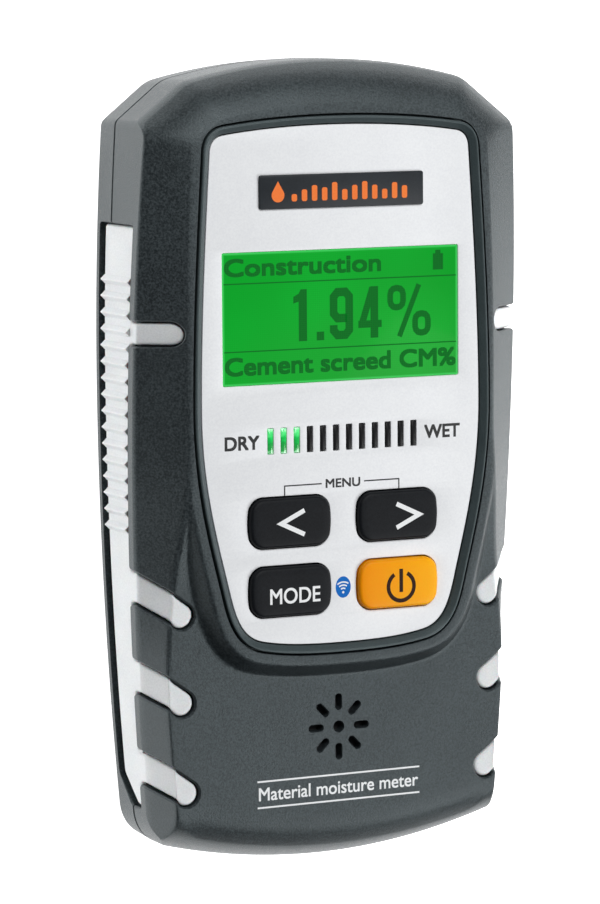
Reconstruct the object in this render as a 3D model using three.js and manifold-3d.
// A handheld moisture meter for screed, timber and masonry, lying on its back on its
// measuring pads, as it does while it reads a floor. Millimetres. +X is to the right of
// the display, +Y points to the display end, +Z comes out of the face. The origin is on
// the surface that the meter rests on, below the middle of its case.
import * as THREE from 'three';
import { mergeVertices } from 'three/addons/utils/BufferGeometryUtils.js';
import Module from 'manifold-3d';

const wasm = await Module();
wasm.setup();

// ---- Driving sizes: the case -------------------------------------------------------
const CASE_LENGTH = 168;
const CASE_HALF_WIDTH = 44;
const BACK_Z = 1.1; // back of the case above the surface that it rests on
const SPINE_Z = 32; // front of the case round the face panel
const LOW_ZONE_Z = 28.3; // front of the case over the sounder
const BACK_BEVEL = 3;
const CORNER_Z_LOW = 19; // height of the edge between side wall and facet, lower end
const CORNER_Z_RISE = 9.5; // how much higher that edge is at the display end
const CORNER_Z_POWER = 1.3;
const CREASE_INSET_LOW = 3; // facet width at the lower end
const CREASE_INSET_RISE = 6.2; // how much wider the facet is beside the display
const CREASE_RAMP_START = 13.3; // below the panel's lower edge, where the facet widens
const CREASE_RAMP = 60;
const FRONT_RAMP_START = 10.7; // above the panel's lower edge, where the front steps up
const FRONT_RAMP = 26;
const SIDE_CURVE_CENTRE_Y = 20;
const SIDE_CURVE_RADIUS_LOW = 1050;
const SIDE_CURVE_RADIUS_HIGH = 748;
const END_CROWN_RADIUS_TOP = 123;
const END_CROWN_RADIUS_LOW = 128;
const CHAMFER_WIDTH = 10; // cut corners at the display end, along X
const CHAMFER_DEPTH = 8; // and along Y
const LOW_CORNER_WIDTH = 7;
const LOW_CORNER_DEPTH = 6.8;
const TOP_ROLL = 13; // how far the front rolls over towards the display end
const TOP_ROLL_Z = 22;
const LOW_ROLL = 9;
const LOW_ROLL_Z = 14;
const PARTING_Z = 12.25;
const PARTING_GAP = 0.3;
const SIDE_WALL = 3.4; // thick enough to hold the side inserts' channel
const FRONT_WALL = 2.2;
const BACK_WALL = 2;
const END_WALL = 2.4;
const LIP_HEIGHT = 1.6;
const LIP_WIDTH = 1.2;

// ---- Driving sizes: the face --------------------------------------------------------
const PANEL_TOP_INSET = 13.3; // face panel's top edge from the display end
const PANEL_LENGTH = 107.4;
const PANEL_HALF_WIDTH = 31.9;
const PANEL_THICKNESS = 1.2;
const PANEL_TOP_Z = 31;
const DECK_THICKNESS = 1.6; // floor of the case under the panel
const BEZEL_WIDTH = 1.6;
const BEZEL_TOP_Z = 32.2;
const BEZEL_INNER_Z = 31.3;
const BEZEL_GROOVE = 0.4;
const PLATEAU_RIM = 2.1; // flat rim outside the bezel groove
const PLATEAU_SLOPE = 2.6;
const WINDOW_HALF_WIDTH = 27;
const WINDOW_LENGTH = 27.1;
const WINDOW_CENTRE = 39.25; // window's centre below the panel's top edge
const WINDOW_THICKNESS = 1;
const NAMEPLATE_HALF_WIDTH = 18.8;
const NAMEPLATE_LENGTH = 7;
const NAMEPLATE_CENTRE = 13.5;
const NAMEPLATE_THICKNESS = 0.5;
const FRAME_WALL = 1.7; // display module's frame
const FRAME_CLEARANCE = 0.8;
const CHIP_SPACE = 1.7; // board left free between that frame and the next parts
const BAR_COUNT = 12;
const BAR_PITCH = 3;
const BAR_WIDTH = 1.2;
const BAR_LENGTH = 5.2;
const BAR_CENTRE = 64.6;
const KEY_HALF_LENGTH = 8.5;
const KEY_BULGE = 0.75;
const KEY_HALF_WIDTH = 5.15;
const KEY_CORNER = 2.4;
const KEY_COLUMN_X = 12.4;
const KEY_ROW_1 = 81.5; // key rows' centres below the panel's top edge
const KEY_ROW_2 = 95.8;
const KEY_TOP_Z = 32.3;
const KEY_TOP_EDGE = 0.6;
const KEY_FLANGE = 0.9; // rim under the deck that keeps a key in
const KEY_FLANGE_THICKNESS = 0.9;
const GRILLE_FROM_END = 29; // sounder grille's centre from the lower end
const GRILLE_SLOTS = 8;
const GRILLE_INNER = 3.6;
const GRILLE_OUTER = 6.9;
const GRILLE_SLOT_WIDTH = 1.4;
const GRILLE_HOLE_RADIUS = 1.15;

// ---- Driving sizes: side inserts ----------------------------------------------------
const GRIP_RECESS = 0.6; // insert's face below the case's face
const GRIP_CHANNEL_DEPTH = 2;
const GRIP_TOP_INSET = 33.4; // insert's upper end from the display end
const GRIP_LOW_INSET = 13.5; // insert's lower end from the lower end
const GRIP_REAR_Z = 7.6;
const GRIP_REAR_GAP = 2.2; // open gap between insert and rear shell
const GRIP_EDGE_BELOW_CORNER = 3.3;
const GRIP_END_CUT = 6;
const RIB_COUNT = 16;
const RIB_PITCH = 3.41;
const RIB_HEIGHT = 0.9;
const RIB_WIDTH = 1.9;
const RIB_FIRST_INSET = 44.8; // first rib from the display end
const FINGER_WIDTH = 5.1;
const FINGER_SLANT = 36; // degrees
const STRAIGHT_FINGER_WIDTH = 4.55;
const STRAIGHT_FINGER_INSET = 55.1; // from the display end
const STRAIGHT_FINGER_FROM_EDGE = 5.7;
const SLANTED_FINGERS = [ // end centre: distance from the lower end, and from the side
  [54.8, 7.2],
  [36.6, 6.2],
  [17.8, 5.6],
];

// ---- Driving sizes: inside and back --------------------------------------------------
const BOARD_THICKNESS = 1.6;
const BOARD_HALF_WIDTH = 31.5;
const BOARD_TOP_INSET = 14;
const BOARD_CORNER = 7;
const BOARD_BELOW_KEYS = 11; // board's lower edge below the second key row
const BOARD_TOP_Z = 25.2;
const BATTERY_WIDTH = 26.5;
const BATTERY_LENGTH = 46;
const BATTERY_THICKNESS = 17.5;
const TERMINAL_HEIGHT = 2.4;
const TERMINAL_OFFSET = 6.35;
const BATTERY_Z = 4.3;
const BAY_CLEARANCE = 0.5;
const BAY_WALL = 1.4;
const BAY_ROOF = 1.2;
const BAY_LOW_INSET = 7.65; // bay's lower inner end from the lower end
const BAY_CONTACT_SPACE = 5.6;
const BAY_HINGE_SPACE = 4.2;
const DOOR_GAP = 0.35;
const DOOR_THICKNESS = 2;
const BARREL_RADIUS = 1.8;
const PIVOT_RADIUS = 1;
const PIVOT_LENGTH = 2.4;
const PIVOT_CLEARANCE = 0.08;
const SCREW_FROM_BOARD = 0.5; // air between the board's edge and the upper screw bosses
const SCREW_FROM_SIDE = 9; // lower screws from the case's side
const SCREW_TOP_INSET = 22;
const SCREW_LOW_INSET = 22;
const SCREW_RADIUS = 1.5;
const SCREW_HEAD_RADIUS = 2.8;
const SCREW_LENGTH = 16;
const BOSS_RADIUS = 3.2;
const PAD_HALF_WIDTH = 12;
const PAD_LENGTH = 46;
const PAD_TOP_INSET = 20;
const PAD_CENTRE_X = 17;
const PAD_POCKET = 1;
const FOOT_RADIUS = 3.5;
const FOOT_X = 24;
const FOOT_LOW_INSET = 13;

const FIT = 0.3; // running clearance between neighbours that are cut round each other
const SEAT = 0.02; // air left between faces that rest on each other
const TOP = CASE_LENGTH / 2;
const LOW = -CASE_LENGTH / 2;
const PANEL_TOP = TOP - PANEL_TOP_INSET;
const PANEL_LOW = PANEL_TOP - PANEL_LENGTH;
const DECK_Z = PANEL_TOP_Z - PANEL_THICKNESS;
const DECK_UNDER_Z = DECK_Z - DECK_THICKNESS;
const WINDOW_Y = PANEL_TOP - WINDOW_CENTRE;
const KEY_FLANGE_TOP_Z = DECK_UNDER_Z - FIT;
const KEY_LOW_Z = KEY_FLANGE_TOP_Z - KEY_FLANGE_THICKNESS;
const BOARD_Z = BOARD_TOP_Z - BOARD_THICKNESS;
const DEG = Math.PI / 180;

// ---- Solids ---------------------------------------------------------------------------
function solidFrom(geometry) {
  geometry.deleteAttribute('normal');
  geometry.deleteAttribute('uv');
  const merged = mergeVertices(geometry, 1e-5);
  const mesh = new wasm.Mesh({
    numProp: 3,
    vertProperties: new Float32Array(merged.attributes.position.array),
    triVerts: new Uint32Array(merged.index.array),
  });
  return new wasm.Manifold(mesh);
}

function shapeOf(points) {
  return new THREE.Shape(points.map(([u, v]) => new THREE.Vector2(u, v)));
}

function extrude(points, depth, basis) {
  const geometry = new THREE.ExtrudeGeometry(shapeOf(points), { depth, bevelEnabled: false });
  geometry.applyMatrix4(basis);
  return solidFrom(geometry);
}

// A plan outline in X and Y, standing from z0 to z1.
function prismZ(points, z0, z1) {
  return extrude(points, z1 - z0, new THREE.Matrix4().makeTranslation(0, 0, z0));
}

// A side outline in Y and Z, running from x0 to x1.
function prismX(points, x0, x1) {
  const basis = new THREE.Matrix4().makeBasis(
    new THREE.Vector3(0, 1, 0), new THREE.Vector3(0, 0, 1), new THREE.Vector3(1, 0, 0));
  basis.setPosition(x0, 0, 0);
  return extrude(points, x1 - x0, basis);
}

function box(x0, x1, y0, y1, z0, z1) {
  const geometry = new THREE.BoxGeometry(x1 - x0, y1 - y0, z1 - z0);
  geometry.translate((x0 + x1) / 2, (y0 + y1) / 2, (z0 + z1) / 2);
  return solidFrom(geometry);
}

function cylinderZ(x, y, radius, z0, z1, sides = 20, topRadius = radius) {
  const geometry = new THREE.CylinderGeometry(topRadius, radius, z1 - z0, sides);
  geometry.rotateX(Math.PI / 2);
  geometry.translate(x, y, (z0 + z1) / 2);
  return solidFrom(geometry);
}

function cylinderX(y, z, radius, x0, x1, sides = 20) {
  const geometry = new THREE.CylinderGeometry(radius, radius, x1 - x0, sides);
  geometry.rotateZ(Math.PI / 2);
  geometry.translate((x0 + x1) / 2, y, z);
  return solidFrom(geometry);
}

function cylinderY(x, z, radius, y0, y1, sides = 16) {
  const geometry = new THREE.CylinderGeometry(radius, radius, y1 - y0, sides);
  geometry.translate(x, (y0 + y1) / 2, z);
  return solidFrom(geometry);
}

// A closed skin through rings of points, each ring with the same number of points. The
// end rings are flat: across Z where all their heights are the same, else across Y.
function loft(rings) {
  const count = rings[0].length;
  const last = (rings.length - 1) * count;
  const index = [];
  for (let ring = 0; ring + 1 < rings.length; ring += 1) {
    for (let i = 0; i < count; i += 1) {
      const a = ring * count + i;
      const b = ring * count + (i + 1) % count;
      index.push(a, b, b + count, a, b + count, a + count);
    }
  }
  const acrossZ = rings[0].every(([, , z]) => z === rings[0][0][2]);
  const outline = rings[0].map(([x, y, z]) => new THREE.Vector2(x, acrossZ ? y : z));
  const turn = Math.sign(THREE.ShapeUtils.area(outline));
  for (const corners of THREE.ShapeUtils.triangulateShape([...outline], [])) {
    const [a, b, c] = corners;
    const order = Math.sign(THREE.ShapeUtils.area(corners.map((i) => outline[i]))) === turn;
    if (order) index.push(a, c, b, last + a, last + b, last + c);
    else index.push(a, b, c, last + a, last + c, last + b);
  }
  const [lowEnd, highEnd] = [rings[0][0], rings[rings.length - 1][0]];
  const rises = acrossZ ? highEnd[2] > lowEnd[2] : highEnd[1] > lowEnd[1];
  const outward = (turn > 0) === (acrossZ ? rises : !rises);
  if (!outward) {
    for (let i = 0; i < index.length; i += 3) {
      [index[i + 1], index[i + 2]] = [index[i + 2], index[i + 1]];
    }
  }
  const geometry = new THREE.BufferGeometry();
  geometry.setAttribute('position', new THREE.Float32BufferAttribute(rings.flat(2), 3));
  geometry.setIndex(index);
  return solidFrom(geometry);
}

function union(solids) {
  return solids.reduce((sum, solid) => sum.add(solid));
}

// Moves each edge of a closed outline inwards by `inset`, or outwards where it is
// negative. The outline runs anticlockwise.
function insetOutline(points, inset) {
  const count = points.length;
  return points.map(([x, y], i) => {
    const [px, py] = points[(i + count - 1) % count];
    const [qx, qy] = points[(i + 1) % count];
    const before = new THREE.Vector2(x - px, y - py).normalize();
    const after = new THREE.Vector2(qx - x, qy - y).normalize();
    const normal = new THREE.Vector2(-before.y - after.y, before.x + after.x).normalize();
    const stretch = normal.x * -before.y + normal.y * before.x;
    return [x + normal.x * inset / stretch, y + normal.y * inset / stretch];
  });
}

function mirrored(rightHalf) {
  const left = rightHalf.filter(([x]) => x > 1e-6).map(([x, y]) => [-x, y]).reverse();
  return [...rightHalf, ...left];
}

function smooth(t) {
  const clamped = Math.min(1, Math.max(0, t));
  return clamped * clamped * (3 - 2 * clamped);
}

// ---- The case's outer form -------------------------------------------------------------
function halfWidth(y) {
  const radius = y < SIDE_CURVE_CENTRE_Y ? SIDE_CURVE_RADIUS_LOW : SIDE_CURVE_RADIUS_HIGH;
  return CASE_HALF_WIDTH - (y - SIDE_CURVE_CENTRE_Y) ** 2 / (2 * radius);
}

function cornerZ(y) {
  const along = Math.min(1, Math.max(0, (y - LOW) / CASE_LENGTH));
  return CORNER_Z_LOW + CORNER_Z_RISE * along ** CORNER_Z_POWER;
}

function creaseX(y) {
  const rise = smooth((y - PANEL_LOW + CREASE_RAMP_START) / CREASE_RAMP);
  return halfWidth(y) - CREASE_INSET_LOW - CREASE_INSET_RISE * rise;
}

function frontZ(y) {
  return LOW_ZONE_Z + (SPINE_Z - LOW_ZONE_Z) * smooth((y - PANEL_LOW - FRONT_RAMP_START) / FRONT_RAMP);
}

function topCrown(x) {
  return TOP - x * x / (2 * END_CROWN_RADIUS_TOP);
}

function lowCrown(x) {
  return LOW + x * x / (2 * END_CROWN_RADIUS_LOW);
}

// The cut corner at the display end: where it leaves the end, and where it meets the side.
function chamferCorner() {
  const x = halfWidth(TOP - CHAMFER_DEPTH) - CHAMFER_WIDTH;
  const y = topCrown(x);
  return { x, y, lowY: y - CHAMFER_DEPTH };
}

// The case's outline seen from the front, anticlockwise from the lower end's middle.
function caseOutline() {
  const chamfer = chamferCorner();
  const cornerX = halfWidth(LOW + LOW_CORNER_DEPTH) - LOW_CORNER_WIDTH;
  const right = [];
  for (let i = 0; i <= 4; i += 1) right.push([cornerX * i / 4, lowCrown(cornerX * i / 4)]);
  const from = [cornerX, lowCrown(cornerX)];
  const endY = from[1] + LOW_CORNER_DEPTH;
  const to = [halfWidth(endY), endY];
  const control = [to[0] - 0.6, from[1] + 0.9];
  for (const t of [1 / 3, 2 / 3, 1]) {
    const a = (1 - t) ** 2;
    const b = 2 * t * (1 - t);
    const c = t * t;
    right.push([a * from[0] + b * control[0] + c * to[0],
      a * from[1] + b * control[1] + c * to[1]]);
  }
  for (let i = 1; i <= 6; i += 1) {
    const y = endY + (chamfer.lowY - endY) * i / 6;
    right.push([halfWidth(y), y]);
  }
  for (let i = 4; i >= 0; i -= 1) right.push([chamfer.x * i / 4, topCrown(chamfer.x * i / 4)]);
  return mirrored(right);
}

// The case's section, as a loft along Y whose sides stand a little outside the outline.
function sectionLoft(walls, highFront) {
  const reach = 2 - walls.side;
  const stations = [LOW - 2, LOW + 12, LOW + 24];
  for (const above of [-13, -5, 3, 11, 19, 27, 37, 49, 67, 87]) stations.push(PANEL_LOW + above);
  stations.push(TOP + 2);
  const rings = stations.map((y) => {
    const wide = halfWidth(y);
    const corner = cornerZ(y);
    const front = frontZ(y);
    const crease = creaseX(y);
    const lean = (wide - crease) / (front - corner); // sideways per mm of height
    const slant = Math.hypot(1, lean);
    const facetX = (z) => wide - (z - corner) * lean - walls.facet * slant;
    const facetZ = (x) => corner + (wide - walls.facet * slant - x) / lean;
    const topZ = (highFront ? SPINE_Z : front) - walls.front;
    const backZ = BACK_Z + walls.back;
    const bevelShift = walls.back * Math.SQRT2 - walls.back;
    const outer = wide + reach;
    const right = [
      [wide - BACK_BEVEL - bevelShift, backZ],
      [outer, backZ + BACK_BEVEL + reach + bevelShift],
      [outer, facetZ(outer)],
      [facetX(topZ), topZ],
    ];
    const left = right.map(([x, z]) => [-x, z]).reverse();
    return [...right, ...left].map(([x, z]) => [x, y, z]);
  });
  return loft(rings);
}

// The front of the case rolls over towards each end: a stack of outlines that draw in.
function endRoll(outlineOf, roll, rollZ, frontZEnd, inset) {
  const far = CASE_HALF_WIDTH + 20;
  const rings = [0, 0.4, 0.7, 0.9, 1].map((s) => {
    const draw = roll * (1 - Math.sqrt(1 - s * s)) + inset;
    const z = rollZ + s * (frontZEnd - rollZ);
    return { draw, z };
  });
  rings.unshift({ draw: inset, z: -5 });
  return loft(rings.map(({ draw, z }) => {
    return insetOutline(outlineOf(far), draw).map(([x, y]) => [x, y, z]);
  }));
}

function topEndOutline(far) {
  const chamfer = chamferCorner();
  const slope = CHAMFER_DEPTH / CHAMFER_WIDTH;
  const right = [[far, LOW - 40]];
  right.push([far, chamfer.y - (far - chamfer.x) * slope]);
  for (let i = 4; i >= 0; i -= 1) right.push([chamfer.x * i / 4, topCrown(chamfer.x * i / 4)]);
  return mirrored(right);
}

function lowEndOutline(far) {
  const right = [];
  for (let i = 0; i <= 5; i += 1) {
    const x = CASE_HALF_WIDTH * i / 5;
    right.push([x, lowCrown(x)]);
  }
  right.push([far, lowCrown(CASE_HALF_WIDTH) + 6]);
  right.push([far, TOP + 40]);
  return mirrored(right);
}

// The whole case as one block, with each wall moved inwards by its own amount.
function caseBlock(walls) {
  const outline = prismZ(insetOutline(caseOutline(), walls.side), -5, SPINE_Z + 5);
  const topRoll = endRoll(topEndOutline, TOP_ROLL, TOP_ROLL_Z, SPINE_Z + 0.2, walls.end);
  const lowRoll = endRoll(lowEndOutline, LOW_ROLL, LOW_ROLL_Z, LOW_ZONE_Z + 0.2, walls.end);
  const lowFront = sectionLoft(walls, false);
  const highFront = sectionLoft(walls, true);
  const rim = BEZEL_WIDTH + FIT + BEZEL_GROOVE + PLATEAU_RIM - walls.front;
  const drop = SPINE_Z - LOW_ZONE_Z;
  const plateau = frustum(rim + 2 * PLATEAU_SLOPE, SPINE_Z - 2 * drop,
    rim, SPINE_Z - walls.front + 0.001);
  const rollBoth = topRoll.intersect(lowRoll.add(box(-80, 80, LOW + 30, TOP + 30, -5, 60)));
  const form = lowFront.add(highFront.intersect(plateau)).intersect(outline);
  return form.intersect(rollBoth);
}

function uniformWalls(inset) {
  return { side: inset, facet: inset, front: inset, back: inset, end: inset };
}

// ---- The face panel's outline ------------------------------------------------------------
// Right half from the lower edge's middle to the upper edge's middle, as Bezier stretches.
function panelOutline(grow) {
  const w = PANEL_HALF_WIDTH;
  const top = PANEL_TOP;
  const low = PANEL_LOW;
  const stretches = [
    [[0, low], [w - 23, low], [w - 18, low + 0.4], [w - 13.3, low + 1.4], 3],
    [[w - 13.3, low + 1.4], [w - 8.3, low + 2.6], [w - 7.1, low + 7.2], [w - 5.7, low + 13], 3],
    [[w - 5.7, low + 13], [w - 3.5, low + 22], [w, low + 34], [w, low + 49], 4],
    [[w, low + 49], [w, top - 40], [w - 1.3, top - 20], [w - 2.3, top - 5], 3],
    [[w - 2.3, top - 5], [w - 2.5, top - 3], [w - 3.6, top - 1.9], [w - 5.6, top - 1.7], 2],
    [[w - 5.6, top - 1.7], [w - 13.9, top - 0.5], [9, top], [0, top], 3],
  ];
  const right = [[0, low]];
  for (const [a, b, c, d, steps] of stretches) {
    const curve = new THREE.CubicBezierCurve(new THREE.Vector2(...a), new THREE.Vector2(...b),
      new THREE.Vector2(...c), new THREE.Vector2(...d));
    for (const point of curve.getPoints(steps).slice(1)) right.push([point.x, point.y]);
  }
  right[right.length - 1][0] = 0;
  return insetOutline(mirrored(right), -grow);
}

function panelPrism(grow, z0, z1) {
  return prismZ(panelOutline(grow), z0, z1);
}

function frustum(grow0, z0, grow1, z1) {
  return loft([[grow0, z0], [grow1, z1]].map(([grow, z]) => (
    panelOutline(grow).map(([x, y]) => [x, y, z]))));
}

function roundedRectangle(x0, x1, y0, y1, radius, steps = 2) {
  const points = [];
  const corners = [[x1 - radius, y0 + radius, -90], [x1 - radius, y1 - radius, 0],
    [x0 + radius, y1 - radius, 90], [x0 + radius, y0 + radius, 180]];
  for (const [x, y, start] of corners) {
    for (let i = 0; i <= steps; i += 1) {
      const angle = (start + 90 * i / steps) * DEG;
      points.push([x + radius * Math.cos(angle), y + radius * Math.sin(angle)]);
    }
  }
  return points;
}

// ---- Keys ------------------------------------------------------------------------------
const KEYS = [
  { name: 'key_left', x: -KEY_COLUMN_X, y: PANEL_TOP - KEY_ROW_1, colour: 0x26292d },
  { name: 'key_right', x: KEY_COLUMN_X, y: PANEL_TOP - KEY_ROW_1, colour: 0x26292d },
  { name: 'key_mode', x: -KEY_COLUMN_X, y: PANEL_TOP - KEY_ROW_2, colour: 0x26292d },
  { name: 'key_power', x: KEY_COLUMN_X, y: PANEL_TOP - KEY_ROW_2, colour: 0xf8a00f },
];

// A key's outline: long edges straight, short edges bowed, corners rounded.
function keyOutline(key, grow) {
  const a = KEY_HALF_LENGTH + grow;
  const b = KEY_HALF_WIDTH + grow;
  const r = KEY_CORNER;
  const right = [[a - r, -b], [a - 0.3 * r, -b + 0.3 * r], [a, -b + r],
    [a + KEY_BULGE, 0], [a, b - r], [a - 0.3 * r, b - 0.3 * r], [a - r, b]];
  const left = right.map(([x, y]) => [-x, -y]);
  return [...right, ...left].map(([x, y]) => [key.x + x, key.y + y]);
}

function keyCap(key) {
  const shoulder = KEY_TOP_Z - KEY_TOP_EDGE;
  const stem = prismZ(keyOutline(key, 0), KEY_FLANGE_TOP_Z - 0.1, shoulder);
  const crown = loft([[0, shoulder - 0.01], [-KEY_TOP_EDGE, KEY_TOP_Z]].map(([grow, z]) => (
    keyOutline(key, grow).map(([x, y]) => [x, y, z]))));
  const flange = prismZ(keyOutline(key, KEY_FLANGE), KEY_LOW_Z, KEY_FLANGE_TOP_Z);
  return union([stem, crown, flange]);
}

// ---- Side inserts ------------------------------------------------------------------------
const GRIP_TOP_Y = TOP - GRIP_TOP_INSET;
const GRIP_LOW_Y = LOW + GRIP_LOW_INSET;

function gripFrontZ(y) {
  return cornerZ(y) - GRIP_EDGE_BELOW_CORNER;
}

// The strip on the side wall, seen from the side. `rear` and `grow` widen it.
function gripStrip(rear, grow) {
  const rearZ = GRIP_REAR_Z - rear;
  const topY = GRIP_TOP_Y + grow;
  const lowY = GRIP_LOW_Y - grow;
  const round = 3;
  const points = [[lowY, rearZ + GRIP_END_CUT], [lowY + GRIP_END_CUT, rearZ]];
  points.push([topY - round, rearZ], [topY - 0.9, rearZ + 0.9], [topY, rearZ + round]);
  points.push([topY, gripFrontZ(topY) + grow - round]);
  points.push([topY - 0.9, gripFrontZ(topY) + grow - 0.9]);
  for (let i = 1; i <= 6; i += 1) {
    const y = topY - round + (lowY - topY + round) * i / 6;
    points.push([y, gripFrontZ(y) + grow]);
  }
  return points;
}

// The fingers that wrap from the strip onto the front, seen from the front, for one side.
function fingerPrisms(side, grow, lowZ) {
  const fingers = SLANTED_FINGERS.map(([fromEnd, fromEdge]) => (
    { y: LOW + fromEnd, fromEdge, width: FINGER_WIDTH, slant: FINGER_SLANT }));
  fingers.push({ y: TOP - STRAIGHT_FINGER_INSET, fromEdge: STRAIGHT_FINGER_FROM_EDGE,
    width: STRAIGHT_FINGER_WIDTH, slant: 0 });
  return union(fingers.map(({ y, fromEdge, width, slant }) => {
    const radius = width / 2 + grow;
    const endX = halfWidth(y) - fromEdge;
    const along = [Math.cos(slant * DEG), Math.sin(slant * DEG)];
    const across = [-along[1], along[0]];
    const reach = 16;
    const local = [[reach, radius]];
    for (let i = 0; i <= 6; i += 1) {
      const angle = (90 + 180 * i / 6) * DEG;
      local.push([radius * Math.cos(angle), radius * Math.sin(angle)]);
    }
    local.push([reach, -radius]);
    const points = local.map(([u, v]) => [
      side * (endX + u * along[0] + v * across[0]), y + u * along[1] + v * across[1]]);
    if (side < 0) points.reverse();
    return prismZ(points.reverse(), lowZ, SPINE_Z + 5);
  }));
}

function gripRegion(side, rear, grow) {
  const inner = CASE_HALF_WIDTH - 20;
  const outer = CASE_HALF_WIDTH + 10;
  const strip = prismX(gripStrip(rear, grow), side > 0 ? inner : -outer,
    side > 0 ? outer : -inner);
  return strip.add(fingerPrisms(side, grow, PARTING_Z + 1));
}

function sideGrip(side, outerBlock, innerBlock) {
  const skin = outerBlock.subtract(innerBlock).intersect(gripRegion(side, 0, 0));
  const ribs = [];
  for (let i = 0; i < RIB_COUNT; i += 1) {
    const y = TOP - RIB_FIRST_INSET - i * RIB_PITCH;
    const face = halfWidth(y) - GRIP_RECESS;
    const points = [[side * (face - 0.5), y - RIB_WIDTH / 2], [side * face, y - RIB_WIDTH / 2],
      [side * (face + RIB_HEIGHT), y - 0.2], [side * (face + RIB_HEIGHT), y + 0.2],
      [side * face, y + RIB_WIDTH / 2], [side * (face - 0.5), y + RIB_WIDTH / 2]];
    if (side < 0) points.reverse();
    ribs.push(prismZ(points, GRIP_REAR_Z + 0.4, gripFrontZ(y) - 0.4));
  }
  return union([skin, ...ribs]);
}

// ---- Case shells --------------------------------------------------------------------------
const SCREWS = [];
for (const side of [-1, 1]) {
  const topY = TOP - SCREW_TOP_INSET;
  const lowY = LOW + SCREW_LOW_INSET;
  SCREWS.push([side * (BOARD_HALF_WIDTH + SCREW_FROM_BOARD + BOSS_RADIUS), topY]);
  SCREWS.push([side * (halfWidth(lowY) - SCREW_FROM_SIDE), lowY]);
}
const BOARD_SCREWS = [];
for (const side of [-1, 1]) {
  BOARD_SCREWS.push([side * (BOARD_HALF_WIDTH - 3.8), TOP - BOARD_TOP_INSET - 9]);
  BOARD_SCREWS.push([side * (BOARD_HALF_WIDTH - 3.8), PANEL_TOP - KEY_ROW_1 + 7]);
}
const BOARD_HOLE = 1.4;
const BOARD_SCREW_RADIUS = 1.1;
const BAY_HALF_WIDTH = BATTERY_WIDTH / 2 + BAY_CLEARANCE;
const BAY_LOW_Y = LOW + BAY_LOW_INSET;
const BATTERY_LOW_Y = BAY_LOW_Y + BAY_HINGE_SPACE;
const BATTERY_HIGH_Y = BATTERY_LOW_Y + BATTERY_LENGTH;
const BAY_HIGH_Y = BATTERY_HIGH_Y + TERMINAL_HEIGHT + BAY_CONTACT_SPACE;
const BAY_ROOF_Z = BATTERY_Z + BATTERY_THICKNESS + FIT;
const DOOR_HALF_WIDTH = BAY_HALF_WIDTH - DOOR_GAP;
const DOOR_INNER_Z = BACK_Z + DOOR_THICKNESS;
const HINGE_Y = BAY_LOW_Y + DOOR_GAP + BARREL_RADIUS;
const HINGE_Z = BACK_Z + BARREL_RADIUS;
const GRILLE_Y = LOW + GRILLE_FROM_END;
const SOUNDER_RADIUS = 7;
const SOUNDER_TOP_Z = LOW_ZONE_Z - FRONT_WALL - FIT;
const PADS = [
  { name: 'measuring_pad_left', x: -PAD_CENTRE_X },
  { name: 'measuring_pad_right', x: PAD_CENTRE_X },
];
const PAD_Y = TOP - PAD_TOP_INSET - PAD_LENGTH / 2;
const PAD_STUD_RADIUS = 3;

const caseOuter = caseBlock(uniformWalls(0));
const gripOuter = caseBlock(uniformWalls(GRIP_RECESS));
const gripInner = caseBlock(uniformWalls(GRIP_CHANNEL_DEPTH - FIT));
const channelFloor = caseBlock(uniformWalls(GRIP_CHANNEL_DEPTH));
const thickInner = caseBlock(uniformWalls(SIDE_WALL));
const cavity = caseBlock({ side: SIDE_WALL, facet: SIDE_WALL, front: FRONT_WALL,
  back: BACK_WALL, end: END_WALL }).intersect(box(-80, 80, LOW, TOP, 0, DECK_UNDER_Z));

function gripChannel() {
  const region = union([-1, 1].map((side) => gripRegion(side, GRIP_REAR_GAP, FIT)));
  return region.subtract(channelFloor);
}
const channel = gripChannel();

function grilleCut() {
  const z0 = SOUNDER_TOP_Z - 1;
  const cuts = [cylinderZ(0, GRILLE_Y, GRILLE_HOLE_RADIUS, z0, SPINE_Z, 12)];
  const r = GRILLE_SLOT_WIDTH / 2;
  for (let i = 0; i < GRILLE_SLOTS; i += 1) {
    const slot = prismZ(roundedRectangle(GRILLE_INNER, GRILLE_OUTER, -r, r, r - 0.01), z0, SPINE_Z);
    cuts.push(slot.rotate([0, 0, 360 * i / GRILLE_SLOTS]).translate([0, GRILLE_Y, 0]));
  }
  return union(cuts);
}

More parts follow.
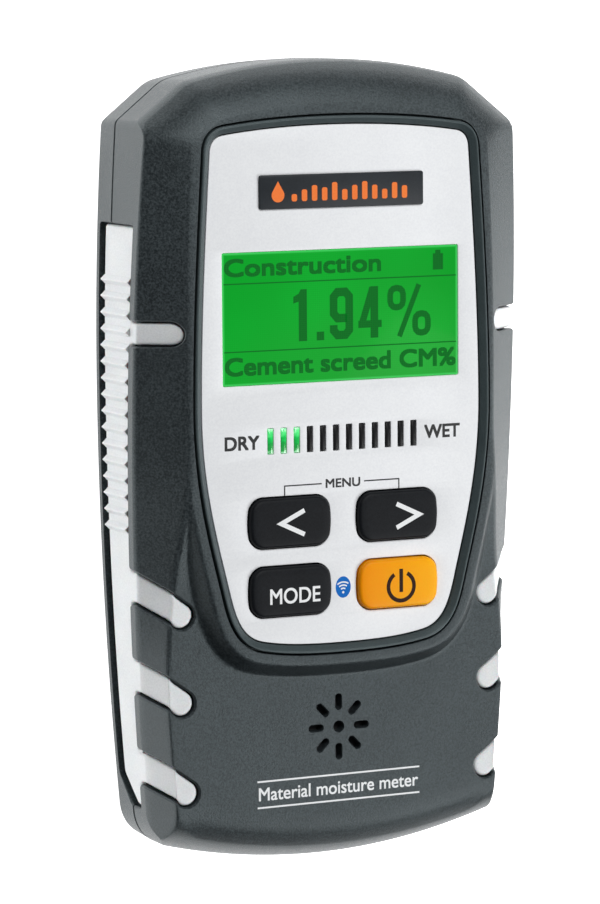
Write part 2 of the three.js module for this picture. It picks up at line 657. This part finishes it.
function frontShell() {
  const half = box(-80, 80, LOW - 10, TOP + 10, PARTING_Z + PARTING_GAP / 2, 60);
  let shell = caseOuter.subtract(cavity);
  const backing = caseOuter.subtract(thickInner).intersect(
    union([-1, 1].map((side) => fingerPrisms(side, FIT + 1.4, PARTING_Z + 1))));
  shell = shell.add(backing.intersect(channelFloor));
  const bosses = SCREWS.map(([x, y]) => cylinderZ(x, y, BOSS_RADIUS, PARTING_Z, SPINE_Z, 16));
  shell = shell.add(union(bosses).intersect(caseBlock(uniformWalls(1))));
  for (const [x, y] of BOARD_SCREWS) {
    shell = shell.add(cylinderZ(x, y, 2.5, BOARD_TOP_Z + SEAT, DECK_UNDER_Z + 0.5, 12));
  }
  const cup = cylinderZ(0, GRILLE_Y, SOUNDER_RADIUS + FIT + 1.2, SOUNDER_TOP_Z - 1.6,
    LOW_ZONE_Z - 1, 24);
  shell = shell.add(cup.subtract(
    cylinderZ(0, GRILLE_Y, SOUNDER_RADIUS + FIT, SOUNDER_TOP_Z - 5, SOUNDER_TOP_Z + FIT, 24)));
  shell = shell.subtract(channel).intersect(half);
  shell = shell.subtract(panelPrism(BEZEL_WIDTH + FIT + BEZEL_GROOVE, DECK_Z, SPINE_Z + 5));
  shell = shell.subtract(box(-WINDOW_HALF_WIDTH + 0.7, WINDOW_HALF_WIDTH - 0.7,
    WINDOW_Y - WINDOW_LENGTH / 2 + 0.7, WINDOW_Y + WINDOW_LENGTH / 2 - 0.7, DECK_UNDER_Z - 1, 40));
  const guideHalf = BAR_PITCH * BAR_COUNT / 2 + FIT;
  const barY = PANEL_TOP - BAR_CENTRE;
  shell = shell.subtract(box(-guideHalf, guideHalf, barY - BAR_LENGTH / 2 - 0.5 - FIT,
    barY + BAR_LENGTH / 2 + 0.5 + FIT, DECK_UNDER_Z - 1, 40));
  for (const key of KEYS) {
    shell = shell.subtract(prismZ(keyOutline(key, FIT + 0.1), DECK_UNDER_Z - 1, 40));
  }
  for (const [x, y] of SCREWS) {
    shell = shell.subtract(cylinderZ(x, y, SCREW_RADIUS + FIT, 0,
      BACK_Z + 4 + SCREW_LENGTH + 1, 14));
  }
  for (const [x, y] of BOARD_SCREWS) {
    shell = shell.subtract(cylinderZ(x, y, BOARD_HOLE, BOARD_TOP_Z - 1, DECK_UNDER_Z - 0.3, 10));
  }
  return shell.subtract(grilleCut());
}

function bayBlock(grow, z0, z1) {
  return box(-BAY_HALF_WIDTH - grow, BAY_HALF_WIDTH + grow, BAY_LOW_Y - grow,
    BAY_HIGH_Y + grow, z0, z1);
}

function rearShell() {
  const half = box(-80, 80, LOW - 10, TOP + 10, -5, PARTING_Z - PARTING_GAP / 2);
  let shell = caseOuter.subtract(cavity).intersect(half);
  const lipWalls = { side: SIDE_WALL, facet: SIDE_WALL, front: FRONT_WALL, back: BACK_WALL,
    end: END_WALL };
  const lipOuter = { ...lipWalls, side: SIDE_WALL + FIT, end: END_WALL + FIT };
  const lipInner = { ...lipWalls, side: SIDE_WALL + FIT + LIP_WIDTH,
    end: END_WALL + FIT + LIP_WIDTH };
  const lipBand = box(-80, 80, LOW - 10, TOP + 10, PARTING_Z - 2.5, PARTING_Z + LIP_HEIGHT);
  let lip = caseBlock(lipOuter).subtract(caseBlock(lipInner)).intersect(lipBand);
  const lipFoot = caseOuter.subtract(caseBlock(lipInner)).intersect(
    box(-80, 80, LOW - 10, TOP + 10, PARTING_Z - 4, PARTING_Z - PARTING_GAP / 2 - 1));
  lip = lip.add(lipFoot);
  for (const [x, y] of SCREWS) {
    lip = lip.subtract(cylinderZ(x, y, BOSS_RADIUS + FIT, PARTING_Z - PARTING_GAP / 2, 30, 16));
  }
  shell = shell.add(lip);
  shell = shell.add(bayBlock(BAY_WALL, BACK_Z + 0.5, BAY_ROOF_Z + BAY_ROOF));
  const bossTop = PARTING_Z - PARTING_GAP / 2;
  const bosses = SCREWS.map(([x, y]) => cylinderZ(x, y, BOSS_RADIUS + 1, BACK_Z + 0.5, bossTop, 16));
  const pivotBlock = [-1, 1].map((side) => {
    const x0 = side > 0 ? BAY_HALF_WIDTH : -BAY_HALF_WIDTH - PIVOT_LENGTH - 1.6;
    return box(x0, x0 + PIVOT_LENGTH + 1.6, HINGE_Y - 3, HINGE_Y + 3, BACK_Z + 0.5, HINGE_Z + 2.8);
  });
  shell = union([shell, ...bosses, ...pivotBlock]).subtract(channel);
  shell = shell.subtract(bayBlock(0, -2, BAY_ROOF_Z));
  const pivotReach = BAY_HALF_WIDTH + PIVOT_LENGTH - DOOR_GAP + FIT;
  shell = shell.subtract(cylinderX(HINGE_Y, HINGE_Z, PIVOT_RADIUS + PIVOT_CLEARANCE,
    -pivotReach, pivotReach, 24));
  for (const [x, y] of SCREWS) {
    shell = shell.subtract(cylinderZ(x, y, SCREW_HEAD_RADIUS + FIT, -1, BACK_Z + 4, 18));
    shell = shell.subtract(cylinderZ(x, y, SCREW_RADIUS + FIT, 0, 30, 14));
  }
  for (const pad of PADS) {
    shell = shell.subtract(prismZ(padOutline(pad, FIT), -1, BACK_Z + PAD_POCKET));
    shell = shell.subtract(cylinderZ(pad.x, PAD_Y, PAD_STUD_RADIUS + FIT, 0, 5, 16));
  }
  for (const side of [-1, 1]) {
    shell = shell.subtract(cylinderZ(side * FOOT_X, LOW + FOOT_LOW_INSET, FOOT_RADIUS + FIT,
      -1, BACK_Z + PAD_POCKET, 18));
  }
  const latchHalf = 5;
  return shell.subtract(box(-latchHalf - FIT, latchHalf + FIT, BAY_HIGH_Y - 1,
    BAY_HIGH_Y + BAY_WALL + 2.4, -1, DOOR_INNER_Z + 1.2));
}

// ---- Small parts ----------------------------------------------------------------------------
function padOutline(pad, grow) {
  return roundedRectangle(pad.x - PAD_HALF_WIDTH - grow, pad.x + PAD_HALF_WIDTH + grow,
    PAD_Y - PAD_LENGTH / 2 - grow, PAD_Y + PAD_LENGTH / 2 + grow, 3 + grow, 3);
}

function measuringPad(pad) {
  const slab = prismZ(padOutline(pad, 0), 0, BACK_Z + PAD_POCKET - SEAT);
  return slab.add(cylinderZ(pad.x, PAD_Y, PAD_STUD_RADIUS, 0.5, BACK_Z + BACK_WALL + 0.3, 16));
}

function facePanel() {
  let panel = panelPrism(0, DECK_Z + SEAT, PANEL_TOP_Z);
  panel = panel.subtract(displayPart(WINDOW_HALF_WIDTH + FIT, WINDOW_LENGTH / 2 + FIT, 20, 40));
  for (const key of KEYS) {
    panel = panel.subtract(prismZ(keyOutline(key, FIT), 20, 40));
  }
  return panel.subtract(union(levelBars(0.1, 20, 40)));
}

function levelBars(grow, z0, z1) {
  const y = PANEL_TOP - BAR_CENTRE;
  const bars = [];
  for (let i = 0; i < BAR_COUNT; i += 1) {
    const x = (i - (BAR_COUNT - 1) / 2) * BAR_PITCH;
    bars.push(box(x - BAR_WIDTH / 2 - grow, x + BAR_WIDTH / 2 + grow,
      y - BAR_LENGTH / 2 - grow, y + BAR_LENGTH / 2 + grow, z0, z1));
  }
  return bars;
}

function levelLightGuide() {
  const y = PANEL_TOP - BAR_CENTRE;
  const half = BAR_PITCH * BAR_COUNT / 2;
  const base = box(-half, half, y - BAR_LENGTH / 2 - 0.5, y + BAR_LENGTH / 2 + 0.5,
    DECK_UNDER_Z - 0.4, DECK_Z - FIT);
  return union([base, ...levelBars(-0.15, DECK_Z - 1, PANEL_TOP_Z - 0.1)]);
}

function panelBezel() {
  const wide = BEZEL_WIDTH + FIT;
  const ring = panelPrism(wide, DECK_Z + SEAT, BEZEL_TOP_Z);
  const slope = frustum(FIT, BEZEL_INNER_Z, wide - 0.5, BEZEL_TOP_Z + 0.01);
  return ring.subtract(panelPrism(FIT, 20, BEZEL_INNER_Z + 0.01)).subtract(slope);
}

function mainBoard() {
  const topY = TOP - BOARD_TOP_INSET;
  const lowY = PANEL_TOP - KEY_ROW_2 - BOARD_BELOW_KEYS;
  const w = BOARD_HALF_WIDTH;
  const c = BOARD_CORNER;
  let board = prismZ([[-w + 4, lowY], [w - 4, lowY], [w, lowY + 10], [w, topY - c],
    [w - c, topY], [-w + c, topY], [-w, topY - c], [-w, lowY + 10]], BOARD_Z, BOARD_TOP_Z);
  for (const [x, y] of BOARD_SCREWS) {
    board = board.subtract(cylinderZ(x, y, BOARD_HOLE, 20, 30, 12));
  }
  return board;
}

function boardScrew(x, y) {
  const head = cylinderZ(x, y, 2.2, BOARD_Z - 1.5, BOARD_Z - SEAT, 12);
  return head.add(cylinderZ(x, y, BOARD_SCREW_RADIUS, BOARD_Z - 0.5, DECK_UNDER_Z - 0.6, 10));
}

function caseScrew(x, y) {
  const seat = BACK_Z + 4 - SEAT;
  const head = cylinderZ(x, y, SCREW_HEAD_RADIUS, seat - 2.2, seat, 16);
  const shank = cylinderZ(x, y, SCREW_RADIUS, seat - 0.5, seat + SCREW_LENGTH, 12);
  const socket = cylinderZ(x, y, 1.3, seat - 3, seat - 1.2, 6);
  return head.add(shank).subtract(socket);
}

function keypadMat() {
  const top = PANEL_TOP - KEY_ROW_1 + 6.5;
  const low = PANEL_TOP - KEY_ROW_2 - 6.5;
  const half = KEY_COLUMN_X + KEY_HALF_LENGTH + 2;
  let mat = box(-half, half, low, top, BOARD_TOP_Z + SEAT, BOARD_TOP_Z + 0.5);
  for (const key of KEYS) mat = mat.subtract(cylinderZ(key.x, key.y, 3.8, 20, 30, 16));
  return mat;
}

function keyDome(key) {
  return cylinderZ(key.x, key.y, 3.5, BOARD_TOP_Z + SEAT, KEY_LOW_Z - 0.05, 16, 2.3);
}

function displayPart(halfX, halfY, z0, z1) {
  return box(-halfX, halfX, WINDOW_Y - halfY, WINDOW_Y + halfY, z0, z1);
}

function battery() {
  const half = BATTERY_WIDTH / 2;
  const midZ = BATTERY_Z + BATTERY_THICKNESS / 2;
  const body = box(-half, half, BATTERY_LOW_Y, BATTERY_HIGH_Y, BATTERY_Z,
    BATTERY_Z + BATTERY_THICKNESS);
  const studY = BATTERY_HIGH_Y + TERMINAL_HEIGHT;
  const plus = cylinderY(-TERMINAL_OFFSET, midZ, 2.9, BATTERY_HIGH_Y - 1, studY);
  const minus = cylinderY(TERMINAL_OFFSET, midZ, 4, BATTERY_HIGH_Y - 1, studY);
  return union([body, plus, minus]);
}

const CONTACT_BOARD_Y = BAY_HIGH_Y - 0.6;
const CONTACT_BOARD_THICKNESS = 1.4;

function contactBoard() {
  return box(-BAY_HALF_WIDTH + FIT, BAY_HALF_WIDTH - FIT, CONTACT_BOARD_Y - CONTACT_BOARD_THICKNESS,
    CONTACT_BOARD_Y, BATTERY_Z + 0.8, BAY_ROOF_Z - FIT);
}

function snapContact(x, radius) {
  const midZ = BATTERY_Z + BATTERY_THICKNESS / 2;
  const from = BATTERY_HIGH_Y + TERMINAL_HEIGHT + FIT;
  return cylinderY(x, midZ, radius, from, CONTACT_BOARD_Y - CONTACT_BOARD_THICKNESS - SEAT);
}

function batteryDoor() {
  const half = DOOR_HALF_WIDTH;
  const farY = BAY_HIGH_Y - DOOR_GAP;
  const plate = box(-half, half, HINGE_Y, farY, BACK_Z, DOOR_INNER_Z);
  const barrel = cylinderX(HINGE_Y, HINGE_Z, BARREL_RADIUS, -half, half, 24);
  const pivot = cylinderX(HINGE_Y, HINGE_Z, PIVOT_RADIUS, -half - PIVOT_LENGTH,
    half + PIVOT_LENGTH, 24);
  const latch = box(-5, 5, farY - 1, farY + BAY_WALL + 1.6, BACK_Z, DOOR_INNER_Z - 0.4);
  let door = union([plate, barrel, pivot, latch]);
  for (let i = 0; i < 3; i += 1) {
    const y = farY - 5 - i * 2.4;
    door = door.subtract(box(-6, 6, y - 0.5, y + 0.5, BACK_Z - 1, BACK_Z + 0.6));
  }
  return door;
}

function doorFoam() {
  return box(-9, 9, BATTERY_LOW_Y + 4, BATTERY_HIGH_Y - 4, DOOR_INNER_Z + SEAT, BATTERY_Z - FIT);
}

// ---- Assembly -----------------------------------------------------------------------------
const FINISHES = {
  case: { color: 0x50595c, roughness: 0.75, metalness: 0 },
  insert: { color: 0xe9ebec, roughness: 0.5, metalness: 0 },
  panel: { color: 0xe2e4e6, roughness: 0.45, metalness: 0 },
  bezel: { color: 0x4b5556, roughness: 0.6, metalness: 0 },
  keyDark: { color: 0x26292d, roughness: 0.55, metalness: 0 },
  keyOrange: { color: 0xf8a00f, roughness: 0.5, metalness: 0 },
  window: { color: 0x2fae4e, roughness: 0.08, metalness: 0 },
  display: { color: 0x00a828, roughness: 0.3, metalness: 0 },
  plate: { color: 0x28303a, roughness: 0.5, metalness: 0 },
  light: { color: 0x3ddc4e, roughness: 0.3, metalness: 0 },
  board: { color: 0x1f6b3a, roughness: 0.5, metalness: 0 },
  chip: { color: 0x1b1d1f, roughness: 0.5, metalness: 0 },
  steel: { color: 0xb9bcbf, roughness: 0.35, metalness: 1 },
  brass: { color: 0xc9a557, roughness: 0.35, metalness: 1 },
  rubber: { color: 0x1c1d1f, roughness: 0.9, metalness: 0 },
  battery: { color: 0x3a3f46, roughness: 0.4, metalness: 0.3 },
  foam: { color: 0x2b2d30, roughness: 1, metalness: 0 },
};

const group = new THREE.Group();

function addPart(name, finish, solid) {
  const mesh = solid.getMesh();
  const geometry = new THREE.BufferGeometry();
  geometry.setAttribute('position', new THREE.Float32BufferAttribute(mesh.vertProperties, 3));
  geometry.setIndex(new THREE.Uint32BufferAttribute(mesh.triVerts, 1));
  geometry.computeVertexNormals();
  const part = new THREE.Mesh(geometry, new THREE.MeshStandardMaterial(FINISHES[finish]));
  part.name = name;
  group.add(part);
}

addPart('front_shell', 'case', frontShell());
addPart('rear_shell', 'case', rearShell());
addPart('side_grip_left', 'insert', sideGrip(-1, gripOuter, gripInner));
addPart('side_grip_right', 'insert', sideGrip(1, gripOuter, gripInner));
addPart('panel_bezel', 'bezel', panelBezel());
addPart('face_panel', 'panel', facePanel());
addPart('display_window', 'window',
  displayPart(WINDOW_HALF_WIDTH, WINDOW_LENGTH / 2, DECK_Z + SEAT, DECK_Z + WINDOW_THICKNESS));
addPart('nameplate', 'plate', prismZ(roundedRectangle(-NAMEPLATE_HALF_WIDTH, NAMEPLATE_HALF_WIDTH,
  PANEL_TOP - NAMEPLATE_CENTRE - NAMEPLATE_LENGTH / 2,
  PANEL_TOP - NAMEPLATE_CENTRE + NAMEPLATE_LENGTH / 2, 0.5),
PANEL_TOP_Z + SEAT, PANEL_TOP_Z + NAMEPLATE_THICKNESS));
addPart('level_light_guide', 'light', levelLightGuide());
for (const key of KEYS) {
  addPart(key.name, key.name === 'key_power' ? 'keyOrange' : 'keyDark', keyCap(key));
  addPart(key.name.replace('key', 'dome'), 'rubber', keyDome(key));
}
addPart('keypad_mat', 'rubber', keypadMat());
const lcdHalfX = WINDOW_HALF_WIDTH + FRAME_CLEARANCE;
const lcdHalfY = WINDOW_LENGTH / 2 + FRAME_CLEARANCE;
addPart('display_frame', 'chip', displayPart(lcdHalfX + FRAME_WALL, lcdHalfY + FRAME_WALL,
  BOARD_TOP_Z + SEAT, DECK_UNDER_Z - 0.1).subtract(displayPart(lcdHalfX, lcdHalfY, 20, 40)));
addPart('display_backlight', 'panel', displayPart(lcdHalfX - FIT, lcdHalfY - FIT,
  BOARD_TOP_Z + SEAT, BOARD_TOP_Z + 1.3));
addPart('display_glass', 'display', displayPart(lcdHalfX - FIT, lcdHalfY - FIT,
  BOARD_TOP_Z + 1.5, DECK_UNDER_Z - 0.1));
addPart('main_board', 'board', mainBoard());
const CHIP_Y = WINDOW_Y + lcdHalfY + FRAME_WALL + CHIP_SPACE;
addPart('processor_chip', 'chip', box(6, 16, CHIP_Y + 3, CHIP_Y + 13, BOARD_TOP_Z + SEAT,
  BOARD_TOP_Z + 1.2));
addPart('radio_module', 'steel', box(-20, -7, CHIP_Y, CHIP_Y + 16, BOARD_TOP_Z + SEAT,
  BOARD_TOP_Z + 2));
addPart('level_led_strip', 'panel', box(-BAR_PITCH * BAR_COUNT / 2, BAR_PITCH * BAR_COUNT / 2,
  PANEL_TOP - BAR_CENTRE - 1.6, PANEL_TOP - BAR_CENTRE + 1.6, BOARD_TOP_Z + SEAT,
  BOARD_TOP_Z + 1.5));
addPart('sounder', 'chip', cylinderZ(0, GRILLE_Y, SOUNDER_RADIUS, SOUNDER_TOP_Z - 2.2,
  SOUNDER_TOP_Z, 24));
BOARD_SCREWS.forEach(([x, y], i) => addPart(`board_screw_${i + 1}`, 'steel', boardScrew(x, y)));
addPart('battery', 'battery', battery());
addPart('battery_contact_board', 'board', contactBoard());
addPart('snap_contact_plus', 'steel', snapContact(-TERMINAL_OFFSET, 4));
addPart('snap_contact_minus', 'steel', snapContact(TERMINAL_OFFSET, 2.9));
addPart('battery_door', 'case', batteryDoor());
addPart('door_foam', 'foam', doorFoam());
for (const pad of PADS) {
  const side = pad.name.endsWith('left') ? 'left' : 'right';
  const plateZ = BACK_Z + BACK_WALL + 0.3 + SEAT;
  addPart(pad.name, 'rubber', measuringPad(pad));
  addPart(`electrode_${side}`, 'brass', box(pad.x - PAD_HALF_WIDTH, pad.x + PAD_HALF_WIDTH,
    PAD_Y - PAD_LENGTH / 2, PAD_Y + PAD_LENGTH / 2, plateZ, plateZ + 0.6));
  addPart(`electrode_pin_${side}`, 'brass', cylinderZ(pad.x, PAD_Y, 1.4, plateZ + 0.6 + SEAT,
    BOARD_Z - SEAT, 12));
}
SCREWS.forEach(([x, y], i) => addPart(`case_screw_${i + 1}`, 'steel', caseScrew(x, y)));
for (const side of [-1, 1]) {
  addPart(side < 0 ? 'foot_left' : 'foot_right', 'rubber', cylinderZ(side * FOOT_X,
    LOW + FOOT_LOW_INSET, FOOT_RADIUS, 0, BACK_Z + PAD_POCKET - SEAT, 18));
}

export default group;
